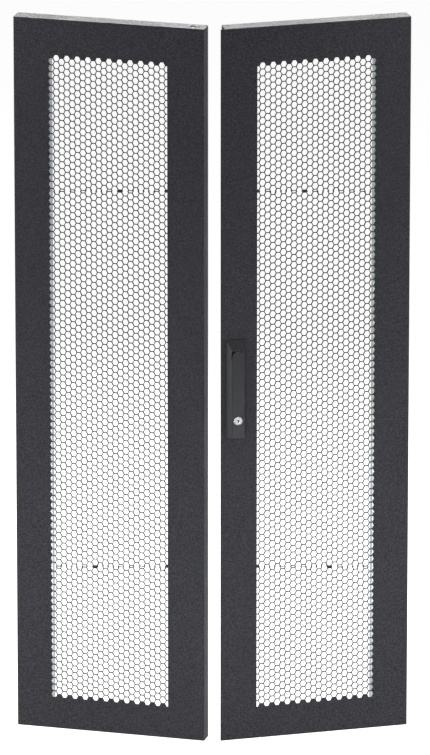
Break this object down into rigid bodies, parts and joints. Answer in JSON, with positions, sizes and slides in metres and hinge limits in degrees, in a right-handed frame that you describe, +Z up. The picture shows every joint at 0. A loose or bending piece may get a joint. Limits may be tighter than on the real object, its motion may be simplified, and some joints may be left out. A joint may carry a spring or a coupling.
{
  "type": "perforated rack door",
  "caption": "Double-leaf perforated steel door for a server rack, with a swing handle, locking rods, slide bolts and bolt-on hinges.",
  "frame": {"origin": "bottom of the leaves, midway between them, centred front to back on the door as it stands ajar", "axes": "+Z up along the hinge axes, -Y towards the front, +X to the viewer's right seen from the front"},
  "size_m": [0.6004, 0.1188, 1.13],
  "materials": {
    "powder_coat": "fine-textured black powder coat",
    "galvanised": "galvanised sheet",
    "zinc_plate": "zinc plated",
    "bright_zinc": "bright zinc plated",
    "die_cast": "black coated die casting",
    "case_zamak": "plain die casting",
    "lock_chrome": "satin chrome",
    "brass": "machined",
    "nylon": "moulded nylon",
    "rubber": "matt"
  },
  "bodies": {
    "cabinet_side": {"left_lower_hinge_plate": "zinc_plate", "left_upper_hinge_plate": "zinc_plate", "right_lower_hinge_plate": "zinc_plate", "right_upper_hinge_plate": "zinc_plate"},
    "left_leaf": {"left_skin": "powder_coat", "left_hinge_stiffener": "galvanised", "left_free_stiffener": "powder_coat", "left_hinge_brackets": "zinc_plate", "left_hinge_pins": "bright_zinc", "left_buffers": "rubber", "left_earth_stud": "bright_zinc", "left_earth_nut": "bright_zinc", "left_bolt_guides": "nylon"},
    "right_leaf": {"right_skin": "powder_coat", "right_hinge_stiffener": "galvanised", "right_free_stiffener": "powder_coat", "right_hinge_brackets": "zinc_plate", "right_hinge_pins": "bright_zinc", "right_buffers": "rubber", "right_earth_stud": "bright_zinc", "right_earth_nut": "bright_zinc", "handle_base": "die_cast", "base_screw": "bright_zinc", "gearbox_case": "case_zamak", "gearbox_cover": "zinc_plate", "gearbox_screws": "bright_zinc", "rod_guides": "nylon"},
    "spindle": {"spindle": "zinc_plate", "pinion": "brass", "spindle_clip": "bright_zinc"},
    "lever": {"lever": "die_cast", "lever_pin": "bright_zinc", "lock_housing": "lock_chrome"},
    "lock_plug": {"lock_plug": "lock_chrome"},
    "upper_rod": {"upper_rod": "zinc_plate"},
    "lower_rod": {"lower_rod": "zinc_plate"},
    "left_top_bolt": {"left_top_bolt": "bright_zinc"},
    "left_bottom_bolt": {"left_bottom_bolt": "bright_zinc"}
  },
  "joints": [
    {"name": "left_hinge", "type": "hinge", "parent": "cabinet_side", "child": "left_leaf", "pos_m": [-0.291, 0.03342, 0.565], "axis": [0, 0, -1], "range_deg": [-15, 95]},
    {"name": "right_hinge", "type": "hinge", "parent": "cabinet_side", "child": "right_leaf", "pos_m": [0.291, 0.03342, 0.565], "axis": [0, 0, 1], "range_deg": [-15, 95]},
    {"name": "handle_turn", "type": "hinge", "parent": "right_leaf", "child": "spindle", "pos_m": [0.0358, -0.04325, 0.6185], "axis": [0.2588, -0.9659, 0], "range_deg": [0, 90]},
    {"name": "handle_lift", "type": "hinge", "parent": "spindle", "child": "lever", "pos_m": [0.03833, -0.05271, 0.6225], "axis": [-0.9659, -0.2588, 0], "range_deg": [0, 45]},
    {"name": "key_turn", "type": "hinge", "parent": "lever", "child": "lock_plug", "pos_m": [0.03833, -0.05271, 0.5175], "axis": [0.2588, -0.9659, 0], "range_deg": [0, 90]},
    {"name": "upper_rod_slide", "type": "slide", "parent": "right_leaf", "child": "upper_rod", "axis": [0, 0, -1], "range_m": [0, 0.0126]},
    {"name": "lower_rod_slide", "type": "slide", "parent": "right_leaf", "child": "lower_rod", "axis": [0, 0, 1], "range_m": [0, 0.0126]},
    {"name": "top_bolt_slide", "type": "slide", "parent": "left_leaf", "child": "left_top_bolt", "axis": [0, 0, 1], "range_m": [0, 0.015]},
    {"name": "bottom_bolt_slide", "type": "slide", "parent": "left_leaf", "child": "left_bottom_bolt", "axis": [0, 0, -1], "range_m": [0, 0.015]}
  ],
  "couplings": [
    {"joint": "upper_rod_slide", "follows": "handle_turn", "m_per_rad": 0.008},
    {"joint": "lower_rod_slide", "follows": "handle_turn", "m_per_rad": 0.008}
  ]
}
